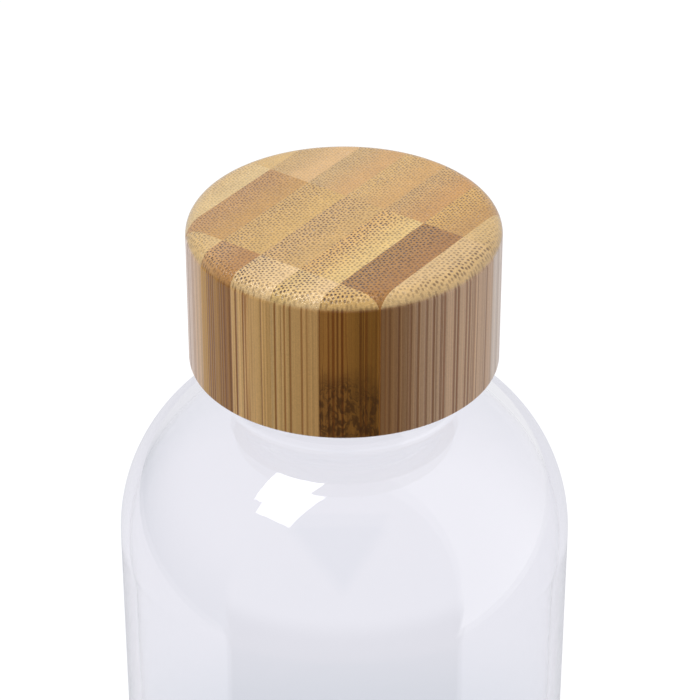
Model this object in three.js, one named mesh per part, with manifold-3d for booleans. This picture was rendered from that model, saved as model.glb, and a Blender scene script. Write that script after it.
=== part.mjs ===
// A glass water bottle with a screw-on cap turned from laminated bamboo.
//
// Millimetres, +Z up. The origin is the centre of the ring that the bottle stands on.
// The rows of bamboo strips in the cap run along X, and the axis of bottle and cap is Z.

import * as THREE from 'three';
import { mergeVertices } from 'three/addons/utils/BufferGeometryUtils.js';
import Module from 'manifold-3d';

const wasm = await Module();
wasm.setup();

// ---- Driving dimensions ----------------------------------------------------------

const facets = 48; // flats round every turned piece
const arcSteps = 4; // flats along an ordinary round corner
const touch = 0.05; // gap left where two pieces press together

const bottle = {
  height: 212.5, // standing ring to the top of the rim
  radius: 33, // outside of the straight wall
  wall: 2,
  floor: 4.5, // standing plane to the inside floor
  heel: 6, // outside round where the wall turns under
  innerHeel: 5, // inside round between wall and floor
  footWidth: 5, // width of the flat ring it stands on
  puntDepth: 1.8, // rise of the hollow under the base
  shoulder: 25.4, // outside round of the shoulder
  shoulderSink: 1.4, // the inside round starts this much lower, so the glass thickens upwards
};

const neck = {
  radius: 16, // outside, between the thread ridges
  wall: 2.8,
  height: 19.45, // straight part, from the fillet up to the rim
  fillet: 2, // outside hollow between shoulder and neck
  innerFillet: 4, // inside round between shoulder and bore
  rimRound: 1,
};

const thread = {
  lead: 4.2, // rise in one turn, right-handed
  turns: 1.25,
  height: 1.2, // root to crest
  rootHalf: 0.9, // half the ridge's width at its root
  crestHalf: 0.45, // half its width at its crest
  belowRim: 2.2, // rim down to the middle of the upper end of the ridge
  runOut: 1 / 12, // length of each tapered end, in turns
  bite: 0.4, // how deep the ridge's root is sunk into its wall
  steps: 32, // flats in one turn of the ridge
  clearance: 0.25, // crest of one thread to the root of the other
  flankGap: 0.3, // along the axis, between the two ridges
};

const seal = {
  width: 4.6,
  thickness: 1.5,
  edge: 0.3, // bevel on its corners
  clearance: 0.3, // to the liner's wall
};

const liner = {
  wall: 0.95,
  top: 1.2,
  recess: 0.8, // its lower edge stands this far inside the bamboo
};

const bamboo = {
  height: 22.2,
  wall: 3.5,
  top: 4.5,
  topRound: 2.2, // round of the upper edge
  bevel: 0.2, // bevel of the lower edge, outside and inside
  glue: 0.2, // glue film between bamboo and liner
  rowPitch: 6.6, // width of a row of strips
  stripLength: 19.9, // length of a whole strip along its row
  firstSeam: 5.1, // X of the joint between columns a and b
  joint: 0.1, // glue line between two strips
};

// ---- Sizes that follow -----------------------------------------------------------

const boreRadius = neck.radius - neck.wall;
const crestRadius = neck.radius + thread.height;
const linerBore = crestRadius + thread.clearance;
const linerRadius = linerBore + liner.wall;
const bambooBore = linerRadius + bamboo.glue;
const capRadius = bambooBore + bamboo.wall;

const rim = bottle.height;
const sealBottom = rim + touch;
const linerCeiling = sealBottom + seal.thickness + touch;
const linerTop = linerCeiling + liner.top;
const bambooCeiling = linerTop + bamboo.glue;
const capTop = bambooCeiling + bamboo.top;
const capBottom = capTop - bamboo.height;

// ---- Outlines --------------------------------------------------------------------

// Points on a circular arc in an outline's (radius, height) plane, ends included.
function arc(centreR, centreZ, radius, from, to, steps = arcSteps) {
  const points = [];
  for (let i = 0; i <= steps; i += 1) {
    const angle = from + ((to - from) * i) / steps;
    const r = centreR + radius * Math.cos(angle);
    const z = centreZ + radius * Math.sin(angle);
    points.push(new THREE.Vector2(r, z));
  }
  return points;
}

// A round corner of a box-like outline: it starts at the angle `from` and turns a quarter.
function corner(centreR, centreZ, radius, from, turn = 1, steps = arcSteps) {
  return arc(centreR, centreZ, radius, from, from + (turn * Math.PI) / 2, steps);
}

const point = (r, z) => new THREE.Vector2(r, z);

// The shoulder is an arc that leaves the wall upright and meets the hollow fillet under
// the neck, a circle that touches both the arc and the neck's upright wall.
function shoulderAndFillet(wallRadius, shoulderRadius, neckRadius, filletRadius) {
  const shoulderR = wallRadius - shoulderRadius;
  const filletR = neckRadius + filletRadius;
  const reach = shoulderRadius + filletRadius;
  const rise = Math.sqrt(reach ** 2 - (filletR - shoulderR) ** 2);
  const meet = Math.atan2(rise, filletR - shoulderR);
  return { shoulderR, shoulderRadius, filletR, filletRadius, rise, meet };
}

const outer = shoulderAndFillet(bottle.radius, bottle.shoulder, neck.radius, neck.fillet);
const inner = shoulderAndFillet(
  bottle.radius - bottle.wall,
  bottle.shoulder - bottle.wall,
  boreRadius,
  neck.innerFillet,
);
const shoulderZ = rim - neck.height - outer.rise;
const innerShoulderZ = shoulderZ - bottle.shoulderSink;

// ---- Solids ----------------------------------------------------------------------

// A three.js geometry as a manifold solid. Repeated corners are merged first, and the
// triangles that shrink to a line on the axis of a turned piece are dropped.
function toSolid(geometry) {
  geometry.deleteAttribute('normal');
  geometry.deleteAttribute('uv');
  const merged = mergeVertices(geometry, 1e-4);
  const corners = merged.index.array;
  const triangles = [];
  for (let i = 0; i < corners.length; i += 3) {
    const [a, b, c] = corners.slice(i, i + 3);
    if (a !== b && b !== c && c !== a) {
      triangles.push(a, b, c);
    }
  }
  return new wasm.Manifold(
    new wasm.Mesh({
      numProp: 3,
      vertProperties: new Float32Array(merged.attributes.position.array),
      triVerts: new Uint32Array(triangles),
    }),
  );
}

function toGeometry(solid) {
  const { vertProperties, triVerts } = solid.getMesh();
  const geometry = new THREE.BufferGeometry();
  geometry.setAttribute('position', new THREE.BufferAttribute(vertProperties, 3));
  geometry.setIndex(new THREE.BufferAttribute(triVerts, 1));
  geometry.computeVertexNormals();
  return geometry;
}

// A solid turned about Z from an outline that keeps the material on its left.
function turned(outline) {
  const geometry = new THREE.LatheGeometry(outline, facets);
  geometry.rotateX(Math.PI / 2);
  return toSolid(geometry);
}

// A screw thread's ridge. Its section is extruded straight and then wound: the length of
// the extrusion becomes the angle round Z, and the height rises with it. `side` is 1 on
// the outside of a wall and -1 in a bore, where the ridge stands inwards and its section
// is turned over to match. Both ends taper down into the wall.
function ridge(wallRadius, upperEnd, side) {
  const root = wallRadius - side * thread.bite;
  const reach = thread.height + thread.bite;
  const section = new THREE.Shape([
    point(-thread.rootHalf, 0),
    point(-thread.crestHalf, reach),
    point(thread.crestHalf, reach),
    point(thread.rootHalf, 0),
  ]);
  const geometry = new THREE.ExtrudeGeometry(section, {
    depth: thread.turns,
    steps: Math.round(thread.turns * thread.steps),
    bevelEnabled: false,
  });
  const lowerEnd = upperEnd - thread.lead * thread.turns;
  const sunkReach = thread.bite / 2 / reach;
  const position = geometry.attributes.position;
  for (let i = 0; i < position.count; i += 1) {
    const across = position.getX(i);
    const out = position.getY(i);
    const turn = position.getZ(i);
    const toEnd = Math.min(turn, thread.turns - turn);
    const full = Math.max(sunkReach, Math.min(1, toEnd / thread.runOut));
    const radius = root + side * out * full;
    const angle = turn * 2 * Math.PI;
    const height = lowerEnd + side * across + thread.lead * turn;
    position.setXYZ(i, radius * Math.cos(angle), radius * Math.sin(angle), height);
  }
  return toSolid(geometry);
}

function glassBody() {
  const straight = bottle.radius - bottle.heel;
  const puntRadius = straight - bottle.footWidth;
  const puntArc = (puntRadius ** 2 + bottle.puntDepth ** 2) / (2 * bottle.puntDepth);
  const puntEdge = Math.asin(puntRadius / puntArc);
  const innerStraight = bottle.radius - bottle.wall - bottle.innerHeel;
  const round = neck.rimRound;
  const up = Math.PI / 2;
  const outline = [
    ...arc(0, bottle.puntDepth - puntArc, puntArc, up, up - puntEdge),
    ...corner(straight, bottle.heel, bottle.heel, -up),
    ...arc(outer.shoulderR, shoulderZ, bottle.shoulder, 0, outer.meet, 2 * arcSteps),
    ...arc(
      outer.filletR,
      shoulderZ + outer.rise,
      neck.fillet,
      outer.meet - Math.PI,
      -Math.PI,
    ),
    ...corner(neck.radius - round, rim - round, round, 0, 1, 2),
    ...corner(boreRadius + round, rim - round, round, up, 1, 2),
    ...arc(
      inner.filletR,
      innerShoulderZ + inner.rise,
      neck.innerFillet,
      -Math.PI,
      inner.meet - Math.PI,
    ),
    ...arc(
      inner.shoulderR,
      innerShoulderZ,
      inner.shoulderRadius,
      inner.meet,
      0,
      2 * arcSteps,
    ),
    ...corner(
      innerStraight,
      bottle.floor + bottle.innerHeel,
      bottle.innerHeel,
      0,
      -1,
    ),
    point(0, bottle.floor),
  ];
  return turned(outline).add(ridge(neck.radius, rim - thread.belowRim, 1));
}

function sealRing() {
  const outside = linerBore - seal.clearance;
  const inside = outside - seal.width;
  const top = sealBottom + seal.thickness;
  return turned([
    point(inside + seal.edge, sealBottom),
    point(outside - seal.edge, sealBottom),
    point(outside, sealBottom + seal.edge),
    point(outside, top - seal.edge),
    point(outside - seal.edge, top),
    point(inside + seal.edge, top),
    point(inside, top - seal.edge),
    point(inside, sealBottom + seal.edge),
    point(inside + seal.edge, sealBottom),
  ]);
}

// The liner's ridge lies just under the neck's, so turning the cap pulls it down.
function capLiner() {
  const bottom = capBottom + liner.recess;
  const cup = turned([
    point(0, linerCeiling),
    point(linerBore, linerCeiling),
    point(linerBore, bottom),
    point(linerRadius, bottom),
    point(linerRadius, linerTop),
    point(0, linerTop),
  ]);
  const below = thread.rootHalf + thread.crestHalf + thread.flankGap;
  return cup.add(ridge(linerBore, rim - thread.belowRim - below, -1));
}

// The cap's bamboo shell before it is divided into strips.
function bambooShell() {
  const { bevel, topRound } = bamboo;
  return turned([
    point(0, bambooCeiling),
    point(bambooBore, bambooCeiling),
    point(bambooBore, capBottom + bevel),
    point(bambooBore + bevel, capBottom),
    point(capRadius - bevel, capBottom),
    point(capRadius, capBottom + bevel),
    ...corner(capRadius - topRound, capTop - topRound, topRound, 0),
    point(0, capTop),
  ]);
}

// The part of a solid between two X values and two Y values.
function between(solid, x0, x1, y0, y1) {
  const box = new THREE.BoxGeometry(x1 - x0, y1 - y0, 3 * bamboo.height);
  box.translate((x0 + x1) / 2, (y0 + y1) / 2, capBottom + bamboo.height / 2);
  return solid.intersect(toSolid(box));
}

// ---- Materials -------------------------------------------------------------------

const glassMaterial = new THREE.MeshStandardMaterial({
  color: 0xe6e8ee,
  roughness: 0.03,
  metalness: 0,
  transparent: true,
  opacity: 0.35,
});
const linerMaterial = new THREE.MeshStandardMaterial({
  color: 0xe9e8e2,
  roughness: 0.5,
  metalness: 0,
});
const sealMaterial = new THREE.MeshStandardMaterial({
  color: 0xd9dad8,
  roughness: 0.7,
  metalness: 0,
});

// Row 1 is at +Y and row 7 at -Y. Column a is at +X and column c at -X.
const stripColours = {
  a1: 0xd6b689,
  b1: 0xdcbe92,
  a2: 0xd6b589,
  b2: 0xbf9a72,
  c2: 0xcdaa78,
  a3: 0xcda97e,
  b3: 0xcba778,
  c3: 0xb8916b,
  a4: 0xd0ab7a,
  b4: 0xc7a478,
  c4: 0xd9bb8f,
  a5: 0xc8a275,
  b5: 0xd3b07e,
  c5: 0xd7b78a,
  a6: 0xc49d6e,
  b6: 0xa78260,
  c6: 0xaa7d55,
  a7: 0xd1b186,
  b7: 0xd7b689,
};

function bambooMaterial(key) {
  return new THREE.MeshStandardMaterial({
    color: stripColours[key],
    roughness: 0.35,
    metalness: 0,
  });
}

// ---- The bottle ------------------------------------------------------------------

function part(name, solid, material) {
  const mesh = new THREE.Mesh(toGeometry(solid), material);
  mesh.name = name;
  return mesh;
}

// The cap's strips, row by row. The strips at the ends of a row, and the whole of the
// two outermost rows, run out to the edge of the cap; those two rows have no column c.
function bambooStrips() {
  const shell = bambooShell();
  const beyond = 2 * capRadius;
  const inset = bamboo.joint / 2;
  const secondSeam = bamboo.firstSeam - bamboo.stripLength;
  const middleRow = 4;
  const lastRow = 7;
  const strips = [];
  for (let row = 1; row <= lastRow; row += 1) {
    const outermost = row === 1 || row === lastRow;
    const centre = (middleRow - row) * bamboo.rowPitch;
    const y0 = row === lastRow ? -beyond : centre - bamboo.rowPitch / 2 + inset;
    const y1 = row === 1 ? beyond : centre + bamboo.rowPitch / 2 - inset;
    const columns = {
      a: [bamboo.firstSeam + inset, beyond],
      b: [outermost ? -beyond : secondSeam + inset, bamboo.firstSeam - inset],
    };
    if (!outermost) {
      columns.c = [-beyond, secondSeam - inset];
    }
    for (const [column, [x0, x1]] of Object.entries(columns)) {
      const key = `${column}${row}`;
      const solid = between(shell, x0, x1, y0, y1);
      strips.push(part(`bamboo_strip_${key}`, solid, bambooMaterial(key)));
    }
  }
  return strips;
}

const cap = new THREE.Group();
cap.add(part('cap_liner', capLiner(), linerMaterial));
cap.add(...bambooStrips());

const waterBottle = new THREE.Group();
waterBottle.add(part('glass_body', glassBody(), glassMaterial));
waterBottle.add(part('seal_ring', sealRing(), sealMaterial));
waterBottle.add(cap);

export default waterBottle;
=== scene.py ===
"""A glass water bottle with a screw-on cap turned from laminated bamboo.

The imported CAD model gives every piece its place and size. Each piece is rebuilt here as a
fine surface: the glass, liner and seal are outlines turned about the bottle's axis, with
the screw threads raised from the turned surface, and every bamboo strip is the cap's
outline swept along the strip. Lengths are in metres.
"""

import math

import bmesh
import bpy
import numpy as np
from mathutils import Matrix, Vector


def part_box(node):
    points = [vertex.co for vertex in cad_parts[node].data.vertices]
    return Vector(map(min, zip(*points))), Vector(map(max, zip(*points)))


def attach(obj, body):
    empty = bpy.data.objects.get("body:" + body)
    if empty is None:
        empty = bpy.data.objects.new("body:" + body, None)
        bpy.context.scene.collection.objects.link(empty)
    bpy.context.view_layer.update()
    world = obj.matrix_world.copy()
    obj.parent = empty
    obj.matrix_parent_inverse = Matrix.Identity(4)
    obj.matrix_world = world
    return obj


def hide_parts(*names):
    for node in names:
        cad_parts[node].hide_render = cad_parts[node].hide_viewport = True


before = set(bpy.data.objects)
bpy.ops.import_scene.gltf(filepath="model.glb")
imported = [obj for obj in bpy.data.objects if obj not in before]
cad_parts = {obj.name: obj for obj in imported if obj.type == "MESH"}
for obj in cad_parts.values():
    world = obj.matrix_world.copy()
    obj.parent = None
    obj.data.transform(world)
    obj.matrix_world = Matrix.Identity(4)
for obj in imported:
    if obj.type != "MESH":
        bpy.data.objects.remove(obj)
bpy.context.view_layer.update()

MM = 0.001
QUARTER = math.pi / 2

# ---- Sizes, from the frame and from the maker's drawing ---------------------------

GLASS_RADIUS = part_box("glass_body")[1][0]
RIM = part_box("glass_body")[1][2]
CAP_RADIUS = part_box("bamboo_strip_a4")[1][0]
CAP_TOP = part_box("bamboo_strip_b4")[1][2]
CAP_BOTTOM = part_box("bamboo_strip_a4")[0][2]
BAMBOO_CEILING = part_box("bamboo_strip_b4")[0][2]
STRIP_WIDTH_MM = 6.6
ROW_WIDTH = STRIP_WIDTH_MM * MM

WALL = 2 * MM
FLOOR = 4.5 * MM
HEEL = 6 * MM
INNER_HEEL = 5 * MM
FOOT_WIDTH = 5 * MM
PUNT_DEPTH = 1.8 * MM
SHOULDER = 25.4 * MM
SHOULDER_SINK = 1.4 * MM
NECK_RADIUS = 16 * MM
NECK_WALL = 2.8 * MM
NECK_HEIGHT = 19.45 * MM
NECK_FILLET = 2 * MM
BORE_FILLET = 4 * MM
RIM_ROUND = 1 * MM

THREAD_LEAD = 4.2 * MM
THREAD_TURNS = 1.25
THREAD_HEIGHT = 1.2 * MM
THREAD_ROOT = 0.9 * MM
THREAD_CREST = 0.45 * MM
THREAD_RUNOUT = 1 / 12
THREAD_BELOW_RIM = 2.2 * MM
THREAD_APART = THREAD_ROOT + THREAD_CREST + 0.3 * MM

LINER_WALL = 0.95 * MM
LINER_TOP = 1.2 * MM
SEAL_WIDTH = 4.6 * MM
SEAL_EDGE = 0.3 * MM

TOP_ROUND = 2.2 * MM
BEVEL = 0.2 * MM
BAMBOO_WALL = 3.5 * MM
SEAM = 0.0495 * MM


# ---- Meshes -----------------------------------------------------------------------


def make_object(name, points, faces):
    """A smooth-shaded object whose place is in its mesh."""
    mesh = bpy.data.meshes.new(name)
    mesh.from_pydata(points.tolist(), [], faces)
    mesh.update()
    piece = bpy.data.objects.new(name, mesh)
    bpy.context.scene.collection.objects.link(piece)
    return piece


def tidy_mesh(piece, sharp_degrees=35.0, merge=1e-7):
    """Merges doubled corners, turns every face outwards and keeps hard edges hard."""
    cleaned = bmesh.new()
    cleaned.from_mesh(piece.data)
    bmesh.ops.remove_doubles(cleaned, verts=cleaned.verts, dist=merge)
    bmesh.ops.dissolve_degenerate(cleaned, edges=cleaned.edges, dist=merge)
    bmesh.ops.recalc_face_normals(cleaned, faces=cleaned.faces)
    cleaned.to_mesh(piece.data)
    cleaned.free()
    smooth = np.ones(len(piece.data.polygons), dtype=bool)
    piece.data.polygons.foreach_set("use_smooth", smooth)
    piece.data.set_sharp_from_angle(angle=math.radians(sharp_degrees))
    piece.data.update()


def arc(centre_r, centre_z, radius, start, end, steps):
    """Points (r, z) = centre + radius (cos t, sin t) with t going from start to end."""
    turn = np.linspace(start, end, steps + 1)
    return np.stack([centre_r + radius * np.cos(turn), centre_z + radius * np.sin(turn)], axis=1)


def line(r0, z0, r1, z1, steps):
    """Evenly spaced points between two ends, the last one left out."""
    share = np.linspace(0, 1, steps, endpoint=False)[:, None]
    return np.array([[r0, z0]]) * (1 - share) + np.array([[r1, z1]]) * share


def turned(name, outline, around, closed=False, relief=None):
    """An outline (r, z) turned about Z: x = r cos a, y = r sin a. An open outline starts
    and ends on the axis, where all its angles share one corner. `relief` adds a radial
    offset to every point of the (outline, angle) grid."""
    angle = np.arange(around) * (2 * math.pi / around)
    inside = outline if closed else outline[1:-1]
    radius = np.repeat(inside[:, :1], around, axis=1)
    height = np.repeat(inside[:, 1:], around, axis=1)
    if relief is not None:
        radius = radius + relief(radius, height, angle[None, :])
    grid = np.stack([radius * np.cos(angle), radius * np.sin(angle), height], axis=2)
    points = grid.reshape(-1, 3)
    rows = len(inside)
    last = rows if closed else rows - 1
    i, j = np.meshgrid(np.arange(last), np.arange(around), indexing="ij")
    up = (i + 1) % rows
    side = (j + 1) % around
    corners = [i * around + j, i * around + side, up * around + side, up * around + j]
    faces = np.stack(corners, axis=2).reshape(-1, 4).tolist()
    if not closed:
        j = np.arange(around)
        side = (j + 1) % around
        start = np.full(around, len(points))
        end = start + 1
        top_row = (rows - 1) * around
        faces += np.stack([start, side, j], axis=1).tolist()
        faces += np.stack([end, top_row + j, top_row + side], axis=1).tolist()
        poles = [[0, 0, outline[0, 1]], [0, 0, outline[-1, 1]]]
        points = np.vstack([points, poles])
    piece = make_object(name, points, faces)
    tidy_mesh(piece)
    return piece


def thread_relief(wall_radius, upper_end, side):
    """A ridge of rounded trapezoid section on one wall of a turned piece. Its middle
    climbs by one lead in a turn; its height is a smooth step of the distance to the
    middle, times a smooth step of the distance to the nearer end of the ridge."""
    lower_end = upper_end - THREAD_LEAD * THREAD_TURNS

    def relief(radius, height, angle):
        on_wall = np.abs(radius - wall_radius) < 0.01 * MM
        ridge = np.zeros_like(radius)
        for whole_turns in range(math.ceil(THREAD_TURNS)):
            turn = angle / (2 * math.pi) + whole_turns
            middle = lower_end + THREAD_LEAD * turn
            flank = (THREAD_ROOT - np.abs(height - middle)) / (THREAD_ROOT - THREAD_CREST)
            end = np.minimum(turn, THREAD_TURNS - turn) / THREAD_RUNOUT
            ridge = np.maximum(ridge, smooth_step(flank) * smooth_step(end))
        return side * THREAD_HEIGHT * ridge * on_wall

    return relief


def smooth_step(value):
    """3 v v - 2 v v v, with v kept between 0 and 1."""
    kept = np.clip(value, 0, 1)
    return kept * kept * (3 - 2 * kept)


# ---- The glass, the liner and the seal ---------------------------------------------


def shoulder_and_fillet(wall_radius, shoulder, neck_radius, fillet):
    """The shoulder's arc leaves the wall upright. The fillet's circle touches that arc and
    the neck's wall, so its centre is one fillet radius outside the neck and one reach,
    shoulder + fillet, from the shoulder's centre."""
    shoulder_r = wall_radius - shoulder
    fillet_r = neck_radius + fillet
    rise = math.sqrt((shoulder + fillet) ** 2 - (fillet_r - shoulder_r) ** 2)
    meet = math.atan2(rise, fillet_r - shoulder_r)
    return shoulder_r, fillet_r, rise, meet


def glass_outline():
    """The bottle's section, from the middle of the hollow base out and up to the rim and
    down the inside to the middle of the floor."""
    straight = GLASS_RADIUS - HEEL
    punt_radius = straight - FOOT_WIDTH
    punt_arc = (punt_radius ** 2 + PUNT_DEPTH ** 2) / (2 * PUNT_DEPTH)
    punt_edge = math.asin(punt_radius / punt_arc)
    bore = NECK_RADIUS - NECK_WALL
    inside = GLASS_RADIUS - WALL
    out_r, out_fillet_r, out_rise, out_meet = shoulder_and_fillet(
        GLASS_RADIUS, SHOULDER, NECK_RADIUS, NECK_FILLET
    )
    in_r, in_fillet_r, in_rise, in_meet = shoulder_and_fillet(
        inside, SHOULDER - WALL, bore, BORE_FILLET
    )
    shoulder_z = RIM - NECK_HEIGHT - out_rise
    neck_z = shoulder_z + out_rise
    in_shoulder_z = shoulder_z - SHOULDER_SINK
    bore_z = in_shoulder_z + in_rise
    turn = math.pi
    return np.vstack([
        arc(0, PUNT_DEPTH - punt_arc, punt_arc, QUARTER, QUARTER - punt_edge, 10),
        arc(straight, HEEL, HEEL, -QUARTER, 0, 12),
        arc(out_r, shoulder_z, SHOULDER, 0, out_meet, 36),
        arc(out_fillet_r, neck_z, NECK_FILLET, out_meet - turn, -turn, 10)[1:],
        line(NECK_RADIUS, neck_z, NECK_RADIUS, RIM - RIM_ROUND, 100)[1:],
        arc(NECK_RADIUS - RIM_ROUND, RIM - RIM_ROUND, RIM_ROUND, 0, QUARTER, 8),
        arc(bore + RIM_ROUND, RIM - RIM_ROUND, RIM_ROUND, QUARTER, turn, 8),
        arc(in_fillet_r, bore_z, BORE_FILLET, -turn, in_meet - turn, 10),
        arc(in_r, in_shoulder_z, SHOULDER - WALL, in_meet, 0, 36)[1:],
        arc(inside - INNER_HEEL, FLOOR + INNER_HEEL, INNER_HEEL, 0, -QUARTER, 12),
        [[0, FLOOR]],
    ])


def liner_outline():
    """A cup, open below, from the middle of its ceiling down its bore and up outside."""
    low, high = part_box("cap_liner")
    radius, bottom, top = high[0], low[2], high[2]
    bore = radius - LINER_WALL
    ceiling = top - LINER_TOP
    edge = 0.25 * MM
    return np.vstack([
        [[0, ceiling]],
        line(bore, ceiling, bore, bottom + edge, 90),
        arc(bore + edge, bottom + edge, edge, -math.pi, -QUARTER, 4),
        arc(radius - edge, bottom + edge, edge, -QUARTER, 0, 4),
        arc(radius - edge, top - edge, edge, 0, QUARTER, 4),
        [[0, top]],
    ])


def seal_outline():
    """A flat ring with rounded corners."""
    low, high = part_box("seal_ring")
    outer, bottom, top = high[0], low[2], high[2]
    inner = outer - SEAL_WIDTH
    e = SEAL_EDGE
    return np.vstack([
        arc(outer - e, bottom + e, e, -QUARTER, 0, 5),
        arc(outer - e, top - e, e, 0, QUARTER, 5),
        arc(inner + e, top - e, e, QUARTER, math.pi, 5),
        arc(inner + e, bottom + e, e, math.pi, 3 * QUARTER, 5),
    ])


# ---- The bamboo strips --------------------------------------------------------------


def shell_outline():
    """The cap's section from its flat top round the upper edge, down the side and up the
    bore to the ceiling. Returns radii, heights and whether a point is above the side."""
    bore = CAP_RADIUS - BAMBOO_WALL
    upper = np.vstack([
        [[0, CAP_TOP]],
        arc(CAP_RADIUS - TOP_ROUND, CAP_TOP - TOP_ROUND, TOP_ROUND, QUARTER, 0, 14),
    ])
    lower = np.array([
        [CAP_RADIUS, CAP_BOTTOM + BEVEL],
        [CAP_RADIUS - BEVEL, CAP_BOTTOM],
        [bore + BEVEL, CAP_BOTTOM],
        [bore, CAP_BOTTOM + BEVEL],
        [bore, BAMBOO_CEILING],
        [0, BAMBOO_CEILING],
    ])
    both = np.vstack([upper, lower])
    above = np.arange(len(both)) < len(upper)
    return both[:, 0], both[:, 1], above


def upper_surface(radius):
    """Height of the cap's top at a radius: flat, then the round of the edge."""
    past = np.clip(radius - (CAP_RADIUS - TOP_ROUND), 0, TOP_ROUND)
    return CAP_TOP - TOP_ROUND + np.sqrt(TOP_ROUND ** 2 - past ** 2)


def lower_surface(radius):
    """Height of the cap's underside at a radius: the ceiling of the bore, then the lower
    edge with its two bevels."""
    bore = CAP_RADIUS - BAMBOO_WALL
    inner = np.clip(bore + BEVEL - radius, 0, BEVEL)
    outer = np.clip(radius - (CAP_RADIUS - BEVEL), 0, BEVEL)
    return np.where(radius <= bore, BAMBOO_CEILING, CAP_BOTTOM + inner + outer)


def strip_piece(name, node, outer_row, column):
    """One bamboo strip: the cap's outline carried along the strip, `path`, and cut off
    between the strip's inner joint and its outer joint or the edge of the cap. A point of
    the outline at radius r lies sqrt(r r - path path) out from the middle of the cap,
    with r kept between the radii of the two cuts."""
    low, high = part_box(node)
    across, along = (1, 0) if outer_row else (0, 1)
    side = 1 if (low[across] + high[across] > 0 and column != "b") or (
        outer_row and low[across] > 0
    ) else -1
    near, far = (low[across], high[across]) if side > 0 else (-high[across], -low[across])
    near = near - SEAM
    if column == "b" and not outer_row:
        far = far + SEAM
    reach = math.sqrt(CAP_RADIUS ** 2 - max(near, 0) ** 2) - 0.02 * MM
    start = max(low[along] - SEAM, -reach)
    end = min(high[along] + SEAM, reach)
    steps = max(8, int((end - start) / (0.25 * MM)))
    path = np.linspace(start, end, steps + 1)[:, None]
    radii, heights, above = shell_outline()
    near_radius = np.hypot(path, max(near, 0))
    far_radius = np.minimum(np.hypot(path, far), CAP_RADIUS)
    radius = np.clip(radii[None, :], near_radius, far_radius)
    height = np.where(above, upper_surface(radius), lower_surface(radius))
    height = np.where(np.isclose(radius, radii[None, :], atol=1e-9), heights[None, :], height)
    out = np.sqrt(np.maximum(radius ** 2 - path ** 2, 0))
    out = np.clip(out, near, far)
    out[:, 0] = near
    out[:, -1] = near
    out *= side
    plan = [out, np.broadcast_to(path, out.shape)]
    if outer_row:
        plan.reverse()
    grid = np.stack([plan[0], plan[1], height], axis=2)
    count = len(radii)
    i, j = np.meshgrid(np.arange(steps), np.arange(count), indexing="ij")
    ring = (j + 1) % count
    corners = [i * count + j, i * count + ring, (i + 1) * count + ring, (i + 1) * count + j]
    faces = np.stack(corners, axis=2).reshape(-1, 4).tolist()
    faces.append(list(range(count)))
    faces.append(list(range(steps * count, (steps + 1) * count)))
    piece = make_object(name, grid.reshape(-1, 3), faces)
    tidy_mesh(piece, merge=0.002 * MM)
    return piece


# ---- Shader helpers -----------------------------------------------------------------


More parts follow.
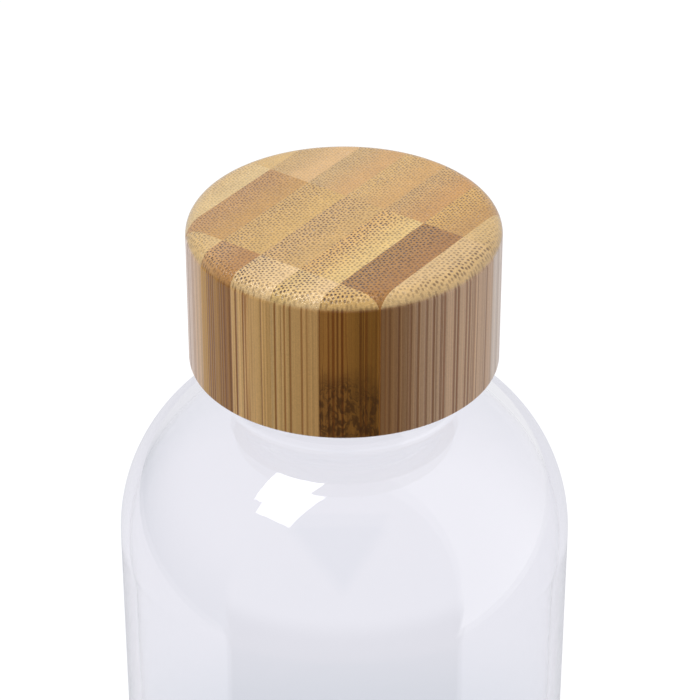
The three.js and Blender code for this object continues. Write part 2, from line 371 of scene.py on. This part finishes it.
class Nodes:
    """A short way to add nodes to a tree and to join them."""

    def __init__(self, tree):
        self.tree = tree

    def add(self, kind, inputs=None, **settings):
        node = self.tree.nodes.new(kind)
        for key, value in settings.items():
            setattr(node, key, value)
        for key, value in (inputs or {}).items():
            self.set(node.inputs[key], value)
        return node

    def set(self, socket, value):
        if isinstance(value, bpy.types.NodeSocket):
            self.tree.links.new(value, socket)
        else:
            socket.default_value = value

    def math(self, operation, a, b=0.0, c=0.0, clamp=False):
        node = self.add("ShaderNodeMath", {0: a, 1: b, 2: c}, operation=operation)
        node.use_clamp = clamp
        return node.outputs[0]

    def vector(self, operation, a, b=(0, 0, 0)):
        return self.add("ShaderNodeVectorMath", {0: a, 1: b}, operation=operation).outputs[0]

    def step(self, value, low, high, out_low=0.0, out_high=1.0):
        """A smooth step from out_low at low to out_high at high."""
        inputs = {0: value, 1: low, 2: high, 3: out_low, 4: out_high}
        node = self.add("ShaderNodeMapRange", inputs, interpolation_type="SMOOTHSTEP")
        return node.outputs[0]

    def mix(self, factor, a, b, blend="MIX"):
        node = self.add("ShaderNodeMix", data_type="RGBA", blend_type=blend)
        self.set(node.inputs[0], factor)
        self.set(node.inputs[6], a)
        self.set(node.inputs[7], b)
        return node.outputs[2]

    def blend(self, factor, a, b):
        return self.add("ShaderNodeMix", {0: factor, 2: a, 3: b}).outputs[0]

    def noise(self, vector, scale, detail=2.0, roughness=0.5, space="3D"):
        inputs = {"Vector": vector, "Scale": scale, "Detail": detail, "Roughness": roughness}
        return self.add("ShaderNodeTexNoise", inputs, noise_dimensions=space).outputs[0]

    def honeycomb(self, x, y, spacing, jitter):
        """Dots in plan on a loose honeycomb, which is two crossed brick grids: the distance
        to the nearest dot in units of the spacing, and a random value for each dot."""
        tall = math.sqrt(3)
        nearest = None
        for offset in (0.0, 0.5):
            grid_x = self.math("ADD", self.math("DIVIDE", x, spacing), offset)
            tall_spacing = self.math("MULTIPLY", spacing, tall)
            grid_y = self.math("ADD", self.math("DIVIDE", y, tall_spacing), offset)
            place = self.combine(grid_x, grid_y, 7.0 * offset)
            cell = self.vector("FLOOR", place)
            dice = self.add("ShaderNodeTexWhiteNoise", {"Vector": cell}, noise_dimensions="3D")
            chance = dice.outputs
            loose = self.vector("MULTIPLY", chance["Color"], (jitter, jitter / tall, 0.0))
            middle = self.vector("ADD", loose, (0.5 - jitter / 2, 0.5 - jitter / tall / 2, 0.0))
            reach = self.vector("SUBTRACT", self.vector("FRACTION", place), middle)
            reach = self.vector("MULTIPLY", reach, (1.0, tall, 0.0))
            distance = self.add("ShaderNodeVectorMath", {0: reach}, operation="LENGTH").outputs["Value"]
            if nearest is None:
                nearest, pick = distance, chance["Value"]
            else:
                closer = self.math("LESS_THAN", distance, nearest)
                pick = self.blend(closer, pick, chance["Value"])
                nearest = self.math("MINIMUM", distance, nearest)
        return nearest, pick

    def combine(self, x, y, z=0.0):
        return self.add("ShaderNodeCombineXYZ", {0: x, 1: y, 2: z}).outputs[0]


def new_group(name, inputs, outputs):
    """A shader node group. Inputs and outputs are name: (socket type, default)."""
    tree = bpy.data.node_groups.new(name, "ShaderNodeTree")
    for label, (kind, value) in inputs.items():
        socket = tree.interface.new_socket(label, in_out="INPUT", socket_type=kind)
        if value is not None:
            socket.default_value = value
    for label, kind in outputs.items():
        tree.interface.new_socket(label, in_out="OUTPUT", socket_type=kind)
    nodes = Nodes(tree)
    entry = nodes.add("NodeGroupInput")
    leave = nodes.add("NodeGroupOutput")
    return nodes, entry.outputs, leave.inputs


def new_material(name):
    """A material with an empty Principled BSDF. Returns it, its nodes and the shader."""
    material = bpy.data.materials.new(name)
    material.use_nodes = True
    nodes = Nodes(material.node_tree)
    return material, nodes, material.node_tree.nodes["Principled BSDF"]


def rgb(r, g, b):
    """A linear colour from the 0 to 255 values of a colour card."""
    parts = np.array([r, g, b]) / 255
    linear = np.where(parts <= 0.04045, parts / 12.92, ((parts + 0.055) / 1.055) ** 2.4)
    return (*linear.tolist(), 1.0)


# ---- Bamboo -------------------------------------------------------------------------

FLOAT = "NodeSocketFloat"
COLOUR = "NodeSocketColor"
VECTOR = "NodeSocketVector"


def bamboo_grain_group():
    """Bamboo as a solid, with its fibres along Z. Across a strip it changes from the
    culm's open inner side to its dense outer side. The fibre bundles are cells in plan,
    so they are dots on the end grain of the top and upright lines on the turned side."""
    nodes, take, give = new_group(
        "bamboo_grain",
        {
            "Position": (VECTOR, None),
            "Row Middle": (FLOAT, 0.0),
            "Dense Side": (FLOAT, 1.0),
            "Seed": (FLOAT, 0.0),
            "Open Wood": (COLOUR, (0.7, 0.5, 0.25, 1)),
            "Dense Wood": (COLOUR, (0.5, 0.32, 0.16, 1)),
            "Side Open And Light": (COLOUR, (0.4, 0.25, 0.1, 1)),
            "Side Dense And Light": (COLOUR, (0.4, 0.25, 0.1, 1)),
            "Bundle": (COLOUR, (0.15, 0.06, 0.02, 1)),
            "Dot Strength": (FLOAT, 1.0),
            "Line Strength": (FLOAT, 0.5),
            "Spacing": (FLOAT, 0.56),
        },
        {"Color": COLOUR, "Height": FLOAT, "Roughness": FLOAT},
    )
    mm = nodes.vector("MULTIPLY", take["Position"], (1000.0, 1000.0, 1000.0))
    axes = nodes.add("ShaderNodeSeparateXYZ", {0: mm}).outputs
    shift = nodes.math("MULTIPLY", take["Seed"], 37.0)

    # Fibres wander a little on their way up.
    drift_at = nodes.combine(
        nodes.math("MULTIPLY_ADD", axes[0], 0.25, shift), axes[1], nodes.math("MULTIPLY", axes[2], 0.05)
    )
    drift = nodes.math("MULTIPLY", nodes.noise(drift_at, 0.5, detail=1.0), 0.45)
    along = nodes.math("ADD", nodes.math("ADD", axes[0], shift), drift)
    plan = nodes.combine(along, axes[1])

    # 0 on the open side of the strip, 1 on the dense side.
    from_middle = nodes.math("SUBTRACT", axes[1], take["Row Middle"])
    signed = nodes.math("MULTIPLY", from_middle, take["Dense Side"])
    across = nodes.math("MULTIPLY_ADD", signed, 1 / STRIP_WIDTH_MM, 0.5)
    wobble = nodes.math("MULTIPLY_ADD", nodes.noise(plan, 0.3, space="2D"), 0.3, -0.15)
    across = nodes.math("ADD", across, wobble, clamp=True)

    # Fibre bundles lie in slanting rows, closer together towards the dense side.
    crowd = nodes.math("MULTIPLY", nodes.math("MULTIPLY", across, across), 0.8)
    closer = nodes.math("ADD", axes[1], crowd)
    turned_x = nodes.math("MULTIPLY_ADD", closer, -0.81, nodes.math("MULTIPLY", along, 0.58))
    turned_y = nodes.math("MULTIPLY_ADD", closer, 0.58, nodes.math("MULTIPLY", along, 0.81))
    distance, pick = nodes.honeycomb(turned_x, turned_y, take["Spacing"], 0.34)
    size = nodes.math("MULTIPLY_ADD", pick, 0.07, 0.235)
    dots = nodes.step(nodes.math("DIVIDE", distance, size), 0.55, 1.45, 1.0, 0.0)
    bold = nodes.math("MULTIPLY_ADD", nodes.math("FRACT", nodes.math("MULTIPLY", pick, 7.3)), 0.25, 0.8)
    fade = nodes.step(across, 0.0, 0.85, 0.5, 1.0)
    dots = nodes.math("MULTIPLY", nodes.math("MULTIPLY", dots, bold), fade)

    # The turned side cuts the fibres along their length, and the round edge blurs their ends.
    normal = nodes.add("ShaderNodeNewGeometry").outputs["Normal"]
    facing_up = nodes.math("ABSOLUTE", nodes.add("ShaderNodeSeparateXYZ", {0: normal}).outputs[2])
    long_grain = nodes.step(facing_up, 0.12, 0.42, 1.0, 0.0)
    end_blur = nodes.step(facing_up, 0.5, 0.97, 0.55, 0.0)
    blurred = nodes.math("MULTIPLY", end_blur, nodes.math("SUBTRACT", 1.0, long_grain))
    dots = nodes.math("MULTIPLY", dots, nodes.math("SUBTRACT", 1.0, blurred))

    # The soft wood between the bundles: speckled and slowly mottled, streaked on the side.
    speckle = nodes.noise(mm, 4.2, detail=2.0)
    mottle = nodes.noise(nodes.vector("ADD", plan, (5.0, 3.0, 0.0)), 0.3, detail=3.0, space="2D")
    streak = nodes.noise(plan, 2.6, detail=3.0, roughness=0.6, space="2D")
    fine = nodes.blend(long_grain, speckle, nodes.blend(0.3, streak, speckle))
    contrast = nodes.blend(long_grain, 0.5, 1.1)
    tone = nodes.math("MULTIPLY_ADD", fine, contrast, nodes.blend(long_grain, 0.75, 0.45))
    tone = nodes.math("MULTIPLY", tone, nodes.math("MULTIPLY_ADD", mottle, 0.24, 0.88))
    toward_dense = nodes.step(across, 0.1, 0.95)
    end_wood = nodes.mix(toward_dense, take["Open Wood"], take["Dense Wood"])
    # For c2, b7 and a7 the side tones hold painted sheen and painted light as well as the wood's
    # colour.
    side_wood_and_light = nodes.mix(toward_dense, take["Side Open And Light"], take["Side Dense And Light"])
    wood = nodes.mix(long_grain, end_wood, side_wood_and_light)
    wood = nodes.vector("MULTIPLY", wood, nodes.combine(tone, tone, tone))

    strength = nodes.blend(long_grain, take["Dot Strength"], take["Line Strength"])
    dark = nodes.math("MULTIPLY", dots, strength, clamp=True)
    veins_at = nodes.vector("ADD", plan, (17.0, 9.0, 0.0))
    veins = nodes.step(nodes.noise(veins_at, 1.5, detail=3.0, roughness=0.7, space="2D"), 0.6, 0.66)
    veins = nodes.math("MULTIPLY", veins, nodes.math("MULTIPLY", long_grain, 0.75))
    dark = nodes.math("MAXIMUM", dark, veins)
    line_colour = nodes.vector("MULTIPLY", wood, (0.42, 0.24, 0.08))
    nodes.set(give["Color"], nodes.mix(dark, wood, nodes.mix(long_grain, take["Bundle"], line_colour)))
    grit = nodes.noise(mm, 5.5, detail=1.0)
    end_height = nodes.math("MULTIPLY_ADD", dots, -0.5, grit)
    side_height = nodes.math("MULTIPLY_ADD", dots, -0.3, nodes.math("MULTIPLY", streak, 0.5))
    nodes.set(give["Height"], nodes.blend(long_grain, end_height, side_height))
    gloss = nodes.math("MULTIPLY_ADD", speckle, 0.08, 0.03)
    nodes.set(give["Roughness"], nodes.blend(long_grain, gloss, 0.28))
    return nodes.tree


def culm_node_group():
    """The mark of a culm's node at the foot of a strip. Rising fibres darken, bend and
    curl as they enter it, and pale threads cross it."""
    nodes, take, give = new_group(
        "culm_node_mark",
        {
            "Position": (VECTOR, None),
            "Color": (COLOUR, (0.5, 0.3, 0.15, 1)),
            "Mark": (COLOUR, (0.05, 0.02, 0.005, 1)),
            "Top": (FLOAT, 0.2),
        },
        {"Color": COLOUR},
    )
    mm = nodes.vector("MULTIPLY", take["Position"], (1000.0, 1000.0, 1000.0))
    axes = nodes.add("ShaderNodeSeparateXYZ", {0: mm}).outputs
    down = nodes.math("SUBTRACT", nodes.math("MULTIPLY", take["Top"], 1000.0), axes[2])
    slow = nodes.noise(nodes.vector("MULTIPLY", mm, (0.5, 0.5, 0.25)), 1.0, detail=2.0)
    edge = nodes.math("MULTIPLY_ADD", slow, 8.0, nodes.math("SUBTRACT", down, 4.0))
    amount = nodes.step(edge, -0.5, 5.5)
    bend = nodes.math("MULTIPLY", nodes.math("SUBTRACT", slow, 0.5), 7.0)
    bend = nodes.math("MULTIPLY", bend, amount)
    warped = nodes.combine(
        nodes.math("MULTIPLY", nodes.math("ADD", axes[0], bend), 1.5),
        nodes.math("MULTIPLY", axes[1], 1.5),
        nodes.math("MULTIPLY", axes[2], nodes.blend(amount, 0.05, 0.55)),
    )
    curls = nodes.noise(warped, 1.0, detail=5.0, roughness=0.66)
    streak = nodes.step(curls, 0.38, 0.6)
    from_thread = nodes.math("ABSOLUTE", nodes.math("SUBTRACT", curls, 0.47))
    threads = nodes.step(from_thread, 0.0, 0.03, 1.0, 0.0)
    dark = nodes.math("MULTIPLY", amount, nodes.math("MULTIPLY_ADD", streak, 0.6, 0.22), clamp=True)
    dark = nodes.math("MULTIPLY", dark, nodes.math("MULTIPLY_ADD", threads, -0.5, 1.0))
    nodes.set(give["Color"], nodes.mix(dark, take["Color"], take["Mark"]))
    return nodes.tree


# The wood of each strip at its open side and at its dense side. Most of these tones were
# fitted by a program and rounded to 5, not chosen by eye.
END_WOOD = {
    "a1": ((200, 165, 105), (190, 155, 95)),
    "b1": ((205, 175, 120), (200, 165, 110)),
    "a2": ((205, 165, 110), (190, 155, 100)),
    "b2": ((185, 140, 75), (180, 135, 80)),
    "c2": ((205, 170, 110), (200, 165, 105)),
    "a3": ((195, 150, 90), (190, 155, 100)),
    "b3": ((200, 160, 90), (195, 155, 90)),
    "c3": ((170, 120, 60), (185, 140, 85)),
    "a4": ((195, 150, 85), (200, 160, 95)),
    "b4": ((195, 155, 90), (195, 155, 95)),
    "c4": ((220, 185, 130), (205, 170, 115)),
    "a5": ((190, 140, 75), (190, 150, 90)),
    "b5": ((215, 180, 110), (205, 160, 90)),
    "c5": ((220, 185, 130), (205, 170, 105)),
    "a6": ((180, 135, 70), (200, 155, 80)),
    "b6": ((160, 110, 50), (160, 115, 55)),
    "c6": ((205, 165, 100), (200, 160, 95)),
    "a7": ((200, 165, 105), (190, 155, 100)),
    "b7": ((205, 170, 115), (195, 160, 105)),
}
# The turned side of some strips is darker or greyer than their end grain. These tones
# come from the same fit, and a few of them were then set one by one.
# Part of these side tones is painted light. The paler, greyer tones of c2, b7 and a7 hold a painted
# sheen of the bright walls, and b7's side, much lighter at one end, holds painted light as well.
SIDE_WOOD_AND_PAINTED_LIGHT = {
    "c2": ((210, 170, 125), (230, 205, 185)),
    "c3": ((150, 100, 35), (190, 140, 55)),
    "c4": ((205, 160, 95), (215, 170, 105)),
    "c5": ((200, 155, 95), (200, 160, 100)),
    "c6": ((140, 95, 35), (160, 110, 50)),
    "b7": ((145, 105, 65), (190, 155, 120)),
    "a7": ((205, 185, 165), (205, 185, 165)),
}
SIDE_FROM_END = (1.0, 0.95, 0.86)
BUNDLE_FROM_END = (0.3, 0.16, 0.11)
MARKED_STRIP = "c6"
MARK_TONE = (66, 38, 12)
MARK_HEIGHT = 12 * MM
VARNISH_RELIEF = 0.11 * MM


def shaded(tone, factors):
    """A tone with each of its parts scaled by its own factor."""
    return [part * factor for part, factor in zip(tone, factors)]


def grain_inputs(key):
    """What the grain group needs to know about one strip. The bundles stand out most in
    column c and around row 5, and they are wider apart towards row 7."""
    column, row = key[0], int(key[1])
    open_end, dense_end = END_WOOD[key]
    from_end = [shaded(tone, SIDE_FROM_END) for tone in END_WOOD[key]]
    open_side_and_light, dense_side_and_light = SIDE_WOOD_AND_PAINTED_LIGHT.get(key, from_end)
    strongest, most, fall = {"a": (6, 0.75, 0.1), "b": (5.5, 1.05, 0.12), "c": (5, 1.1, 0.1)}[column]
    dots = most - fall * abs(row - strongest)
    step = {"a": 0.01, "b": 0.025, "c": 0.025}[column]
    return {
        "Row Middle": (4 - row) * STRIP_WIDTH_MM,
        "Dense Side": -1.0 if row == 7 else 1.0,
        "Seed": float(row * 3 + "abc".index(column)),
        "Open Wood": rgb(*open_end),
        "Dense Wood": rgb(*dense_end),
        "Side Open And Light": rgb(*open_side_and_light),
        "Side Dense And Light": rgb(*dense_side_and_light),
        "Bundle": rgb(*shaded(open_end, BUNDLE_FROM_END)),
        "Dot Strength": min(dots, 1.0),
        "Line Strength": 0.6 if column == "a" else 0.9,
        "Spacing": min(0.53 + step * row, 0.67),
    }


def bamboo_material(key, grain, mark):
    """The finish of one strip: its own tones of grain under a clear satin varnish."""
    material, nodes, shader = new_material(f"bamboo_{key}")
    place = nodes.add("ShaderNodeTexCoord").outputs["Object"]
    wood = nodes.add("ShaderNodeGroup", node_tree=grain)
    nodes.set(wood.inputs["Position"], place)
    for label, value in grain_inputs(key).items():
        wood.inputs[label].default_value = value
    colour = wood.outputs["Color"]
    if key == MARKED_STRIP:
        swirl = nodes.add("ShaderNodeGroup", node_tree=mark)
        nodes.set(swirl.inputs["Position"], place)
        nodes.set(swirl.inputs["Color"], colour)
        nodes.set(swirl.inputs["Mark"], rgb(*MARK_TONE))
        nodes.set(swirl.inputs["Top"], CAP_BOTTOM + MARK_HEIGHT)
        colour = swirl.outputs["Color"]
    nodes.set(shader.inputs["Base Color"], colour)
    nodes.set(shader.inputs["Roughness"], wood.outputs["Roughness"])
    bump = nodes.add("ShaderNodeBump", {"Height": wood.outputs["Height"]})
    bump.inputs["Strength"].default_value = 1.0
    bump.inputs["Distance"].default_value = VARNISH_RELIEF
    nodes.set(shader.inputs["Normal"], bump.outputs[0])
    return material


# ---- Glass, plastic and silicone ------------------------------------------------------


def glass_material():
    """Clear blown glass: a breath of cool tint, slow ripples and faint wipe marks."""
    material, nodes, shader = new_material("clear_glass")
    place = nodes.add("ShaderNodeTexCoord").outputs["Object"]
    ripple = nodes.noise(nodes.vector("MULTIPLY", place, (60.0, 60.0, 25.0)), 1.0, detail=1.0)
    wipe = nodes.noise(nodes.vector("MULTIPLY", place, (40.0, 40.0, 160.0)), 1.0, detail=4.0)
    tint = nodes.mix(ripple, (0.985, 0.985, 0.992, 1), (0.99, 0.99, 0.996, 1))
    nodes.set(shader.inputs["Base Color"], tint)
    nodes.set(shader.inputs["Roughness"], nodes.step(wipe, 0.55, 0.9, 0.0, 0.03))
    bump = nodes.add("ShaderNodeBump", {"Height": ripple})
    bump.inputs["Strength"].default_value = 0.02
    bump.inputs["Distance"].default_value = 0.2 * MM
    nodes.set(shader.inputs["Normal"], bump.outputs[0])
    shader.inputs["Transmission Weight"].default_value = 1.0
    shader.inputs["IOR"].default_value = 1.5
    return material


def plastic_material():
    """Natural moulded plastic: milky, with a fine spark-eroded texture."""
    material, nodes, shader = new_material("liner_plastic")
    place = nodes.add("ShaderNodeTexCoord").outputs["Object"]
    cloud = nodes.noise(place, 120.0, detail=3.0)
    grain = nodes.noise(place, 4200.0, detail=2.0)
    nodes.set(shader.inputs["Base Color"], nodes.mix(cloud, rgb(232, 231, 224), rgb(242, 241, 236)))
    nodes.set(shader.inputs["Roughness"], nodes.math("MULTIPLY_ADD", grain, 0.2, 0.35))
    bump = nodes.add("ShaderNodeBump", {"Height": grain})
    bump.inputs["Strength"].default_value = 0.25
    bump.inputs["Distance"].default_value = 0.02 * MM
    nodes.set(shader.inputs["Normal"], bump.outputs[0])
    shader.inputs["Subsurface Weight"].default_value = 0.3
    shader.inputs["Subsurface Scale"].default_value = 1 * MM
    return material


def silicone_material():
    """Pale translucent silicone with a dusty bloom."""
    material, nodes, shader = new_material("seal_silicone")
    place = nodes.add("ShaderNodeTexCoord").outputs["Object"]
    bloom = nodes.noise(place, 300.0, detail=4.0)
    nodes.set(shader.inputs["Base Color"], nodes.mix(bloom, rgb(214, 216, 214), rgb(232, 233, 231)))
    nodes.set(shader.inputs["Roughness"], nodes.math("MULTIPLY_ADD", bloom, 0.3, 0.45))
    bump = nodes.add("ShaderNodeBump", {"Height": bloom})
    bump.inputs["Strength"].default_value = 0.2
    bump.inputs["Distance"].default_value = 0.03 * MM
    nodes.set(shader.inputs["Normal"], bump.outputs[0])
    shader.inputs["Subsurface Weight"].default_value = 0.5
    shader.inputs["Subsurface Scale"].default_value = 1.5 * MM
    return material


# ---- The studio -----------------------------------------------------------------------

VIEW_AZIMUTH = math.radians(-54.4)
VIEW_ELEVATION = math.radians(32.48)
VIEW_DISTANCE = 0.4409
LENS = 158.9
SENSOR_WIDTH = 36.0
AIM_RIGHT = 0.83 * MM
AIM_UP = 0.36 * MM
TO_CAMERA = Vector((math.sin(VIEW_AZIMUTH), -math.cos(VIEW_AZIMUTH), 0))
TO_RIGHT = Vector((math.cos(VIEW_AZIMUTH), math.sin(VIEW_AZIMUTH), 0))
UP = Vector((0, 0, 1))

TABLE_SIDES = 128
TABLE_RADIUS = 0.75
TABLE_SET_BACK = 0.5
NEAR_FLOOR = 0.15
FAR_FLOOR = 0.2

LAMP_DISTANCE = 1.0
LAMP_WIDTH = 0.343
LAMP_HEIGHT = 0.65
LAMP_RADIANCE = 8.0


def place_camera():
    """A long lens that looks down on the cap from the front."""
    lens = bpy.data.cameras.new("camera")
    lens.lens = LENS
    lens.sensor_width = SENSOR_WIDTH
    lens.clip_start = 0.01
    lens.clip_end = 20.0
    camera = bpy.data.objects.new("camera", lens)
    middle = Vector((0, 0, CAP_BOTTOM))
    back = TO_CAMERA * math.cos(VIEW_ELEVATION) + UP * math.sin(VIEW_ELEVATION)
    camera.location = middle + back * VIEW_DISTANCE
    aim = middle + TO_RIGHT * AIM_RIGHT + UP * AIM_UP
    camera.rotation_euler = (aim - camera.location).to_track_quat("-Z", "Y").to_euler()
    bpy.context.scene.collection.objects.link(camera)
    bpy.context.scene.camera = camera


def soft_box(name, direction, distance, width, height, radiance, aim, along):
    """A rectangular studio lamp that faces `aim`, with its width turned to run `along`.
    Its power is radiance times area times pi."""
    lamp = bpy.data.lights.new(name, "AREA")
    lamp.shape = "RECTANGLE"
    lamp.size = width
    lamp.size_y = height
    lamp.energy = radiance * width * height * math.pi
    holder = bpy.data.objects.new(name, lamp)
    back = direction.normalized()
    side = (along - along.dot(back) * back).normalized()
    turn = Matrix((side, back.cross(side), back)).transposed()
    holder.location = aim + back * distance
    holder.rotation_euler = turn.to_euler()
    bpy.context.scene.collection.objects.link(holder)
    return holder


def toward(nodes, vector, direction):
    """How far a vector goes in a direction."""
    node = nodes.add("ShaderNodeVectorMath", {0: vector, 1: tuple(direction)}, operation="DOT_PRODUCT")
    return node.outputs["Value"]


def front_sector(nodes, vector, softness):
    """1 within 58 degrees of straight in front, 0 elsewhere."""
    sideways = nodes.math("ABSOLUTE", toward(nodes, vector, TO_RIGHT))
    lead = nodes.math("MULTIPLY_ADD", sideways, -0.62, toward(nodes, vector, TO_CAMERA))
    return nodes.step(lead, -softness, softness)


def only_near_wall(nodes, path):
    """1 for rays that have crossed no more than the near wall's two faces, 0 past them."""
    return nodes.math("LESS_THAN", path["Transmission Depth"], 2.5)


def studio_floor():
    """A round white table top that glows softly, so that it stays white under the lamp.
    It shows greyer through the glass and darker close to the bottle, a painted shadow. It is
    painted nearly black where the glass mirrors its front away from the bottle, a painted dark
    reflection."""
    angle = np.arange(TABLE_SIDES) * (2 * math.pi / TABLE_SIDES)
    middle = -TO_CAMERA * TABLE_SET_BACK
    x = middle.x + TABLE_RADIUS * np.cos(angle)
    y = middle.y + TABLE_RADIUS * np.sin(angle)
    ring = np.stack([x, y, 0 * angle], axis=1)
    table = make_object("floor", ring, [list(range(TABLE_SIDES))])
    material, nodes, shader = new_material("white_table")
    shader.inputs["Roughness"].default_value = 1.0
    shader.inputs["Specular IOR Level"].default_value = 0.0
    place = nodes.add("ShaderNodeTexCoord").outputs["Object"]
    path = nodes.add("ShaderNodeLightPath").outputs
    away = nodes.add("ShaderNodeVectorMath", {0: place}, operation="LENGTH").outputs["Value"]
    # Painted dark reflection: in front of the bottle, past NEAR_FLOOR to FAR_FLOOR, the table is
    # painted nearly black for rays other than the camera's that have crossed no more than the near
    # wall, so the glass mirrors a dark floor there.
    beyond = nodes.step(away, NEAR_FLOOR, FAR_FLOOR)
    mirrored = nodes.math("MULTIPLY", only_near_wall(nodes, path), beyond)
    dim = nodes.math("MULTIPLY", front_sector(nodes, place, 0.004), mirrored)
    # Painted shadow: through the glass, the table is greyer within NEAR_FLOOR to FAR_FLOOR of the
    # bottle's axis.
    near = nodes.step(away, NEAR_FLOOR, FAR_FLOOR, 1.0, 0.0)
    through = nodes.mix(near, (0.512, 0.505, 0.55, 1), (0.36, 0.39, 0.44, 1))
    seen = nodes.mix(path["Is Transmission Ray"], (0.4, 0.405, 0.44, 1), through)
    seen = nodes.mix(dim, seen, (0.0, 0.005, 0.02, 1))
    glow = nodes.mix(path["Is Camera Ray"], seen, (0.72, 0.72, 0.72, 1))
    paint = nodes.mix(dim, (0.3, 0.3, 0.3, 1), (0.05, 0.05, 0.05, 1))
    paint = nodes.mix(path["Is Camera Ray"], paint, (0.3, 0.3, 0.3, 1))
    nodes.set(shader.inputs["Base Color"], paint)
    nodes.set(shader.inputs["Emission Color"], glow)
    shader.inputs["Emission Strength"].default_value = 1.0
    table.data.materials.append(material)


def between_planes(nodes, ray, planes, softness):
    """1 inside the cone whose sides are planes through the middle, given by their inward
    normals (right, front, up)."""
    inside = None
    for right, front, up in planes:
        normal = (TO_RIGHT * right + TO_CAMERA * front + UP * up).normalized()
        side = nodes.step(toward(nodes, ray, normal), -softness, softness)
        inside = side if inside is None else nodes.math("MULTIPLY", inside, side)
    return inside


def studio_walls():
    """Grey walls in front, dark below them, white behind. A bright screen stands to the
    right, the wall to the left darkens towards its foot, and the camera is a dim wedge."""
    world = bpy.data.worlds.new("studio")
    bpy.context.scene.world = world
    world.use_nodes = True
    nodes = Nodes(world.node_tree)
    background = world.node_tree.nodes["Background"]
    ray = nodes.add("ShaderNodeTexCoord").outputs["Generated"]
    height = toward(nodes, ray, UP)
    front = front_sector(nodes, ray, 0.012)
    left_foot = nodes.mix(nodes.step(height, -0.3, 0.5), (0.36, 0.4, 0.45, 1), (0.82, 0.82, 0.86, 1))
    left = nodes.step(toward(nodes, ray, -TO_RIGHT), 0.42, 0.78)
    walls = nodes.mix(left, (0.8, 0.8, 0.84, 1), left_foot)
    walls = nodes.mix(front, walls, (0.78, 0.78, 0.82, 1))
    screen_top = between_planes(nodes, ray, [(0.79, 0.61, -0.24)], 0.012)
    screen_back = between_planes(nodes, ray, [(0.85, 0.23, -0.48)], 0.012)
    screen = between_planes(nodes, ray, [(0.62, -0.985, -0.123), (1.0, 0.1, 0.0)], 0.012)
    screen = nodes.math("MULTIPLY", screen, nodes.math("MAXIMUM", screen_top, screen_back))
    far = nodes.step(toward(nodes, ray, -TO_CAMERA), 0.1, 0.7)
    screen_glow = nodes.mix(far, (1.3, 1.3, 1.32, 1), (0.85, 0.85, 0.88, 1))
    walls = nodes.mix(screen, walls, screen_glow)
    wedge_sides = [(1.0, -0.174, 0.657), (-1.0, -0.149, 0.4925), (0.0, 0.88, -0.46)]
    wedge = between_planes(nodes, ray, wedge_sides, 0.025)
    walls = nodes.mix(wedge, walls, (0.3, 0.38, 0.46, 1))
    below = nodes.step(height, -0.3, -0.1, 1.0, 0.0)
    path = nodes.add("ShaderNodeLightPath").outputs
    below = nodes.math("MULTIPLY", nodes.math("MULTIPLY", front, below), only_near_wall(nodes, path))
    walls = nodes.mix(below, walls, (0.0, 0.01, 0.03, 1))
    mirrored = nodes.math("GREATER_THAN", path["Glossy Depth"], 0.5)
    through = nodes.math("SUBTRACT", path["Is Transmission Ray"], mirrored, clamp=True)
    walls = nodes.mix(through, walls, (0.86, 0.86, 0.9, 1))
    seen = nodes.mix(path["Is Camera Ray"], walls, (1.02, 1.02, 1.02, 1))
    nodes.set(background.inputs["Color"], seen)
    background.inputs["Strength"].default_value = 1.0


def light_the_studio():
    """One soft box, high above the cap and a little to its left."""
    aim = Vector((0, 0, CAP_BOTTOM))
    key = -TO_RIGHT * 0.345 + TO_CAMERA * 0.12 + UP * 0.93
    key_side = TO_RIGHT * 0.64 + TO_CAMERA * 0.745 + UP * 0.187
    size = (LAMP_WIDTH, LAMP_HEIGHT)
    soft_box("key_lamp", key, LAMP_DISTANCE, *size, LAMP_RADIANCE, aim, key_side)


# ---- The bottle ------------------------------------------------------------------------


def finish_piece(piece, node, body, material):
    """Puts a fine piece in the place of its CAD node."""
    piece.data.materials.append(material)
    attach(piece, body)
    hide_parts(node)


def build_bottle():
    glass = turned(
        "bottle_glass",
        glass_outline(),
        256,
        relief=thread_relief(NECK_RADIUS, RIM - THREAD_BELOW_RIM, 1),
    )
    finish_piece(glass, "glass_body", "bottle", glass_material())
    liner_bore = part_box("cap_liner")[1][0] - LINER_WALL
    liner = turned(
        "liner_cup",
        liner_outline(),
        192,
        relief=thread_relief(liner_bore, RIM - THREAD_BELOW_RIM - THREAD_APART, -1),
    )
    finish_piece(liner, "cap_liner", "cap", plastic_material())
    seal = turned("seal_washer", seal_outline(), 192, closed=True)
    finish_piece(seal, "seal_ring", "seal", silicone_material())


def build_cap():
    grain = bamboo_grain_group()
    mark = culm_node_group()
    for key in END_WOOD:
        column, row = key
        node = f"bamboo_strip_{key}"
        piece = strip_piece(f"strip_{key}", node, row in "17", column)
        finish_piece(piece, node, "cap", bamboo_material(key, grain, mark))


place_camera()
studio_floor()
studio_walls()
light_the_studio()
build_bottle()
build_cap()
bpy.context.scene.view_settings.view_transform = "Standard"
